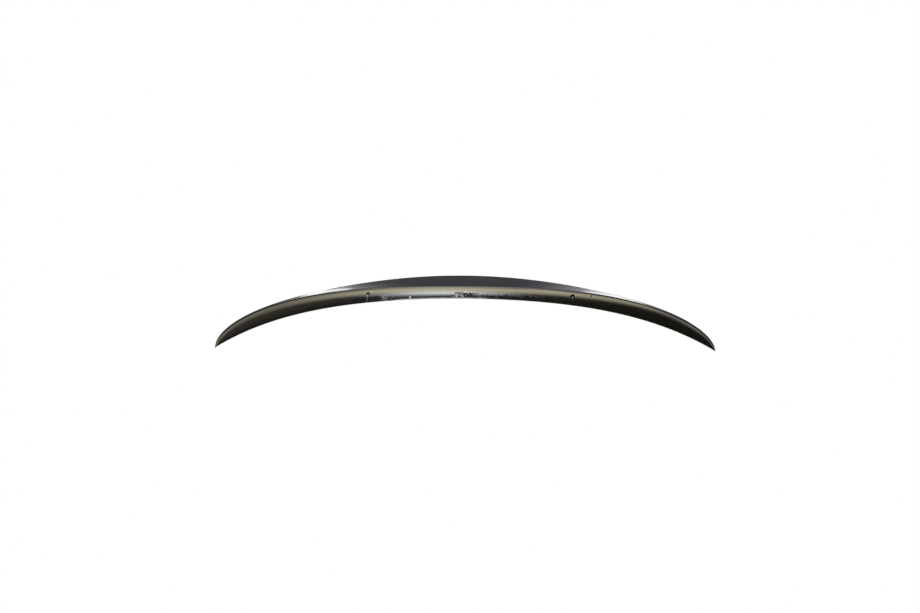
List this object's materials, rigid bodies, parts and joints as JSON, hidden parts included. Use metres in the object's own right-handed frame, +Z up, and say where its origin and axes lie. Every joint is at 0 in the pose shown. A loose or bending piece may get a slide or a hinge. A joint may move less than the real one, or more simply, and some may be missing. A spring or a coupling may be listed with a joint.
{
  "type": "car rear spoiler",
  "caption": "Slim one-piece lip spoiler for a car's boot lid: bowed and crowned to follow the lid, with a raised undercut lip that fades into pointed tips.",
  "frame": {"origin": "middle of the mounting face, on the car's centre line", "axes": "as fitted: +X to the car's right, +Y to the front of the car, +Z up"},
  "size_m": [1.1994, 0.1836, 0.0489],
  "materials": {
    "gloss_black": "gloss black paint over moulded plastic, satin and scuffed on the mounting face"
  },
  "bodies": {
    "root": {"spoiler": "gloss_black"}
  },
  "joints": []
}
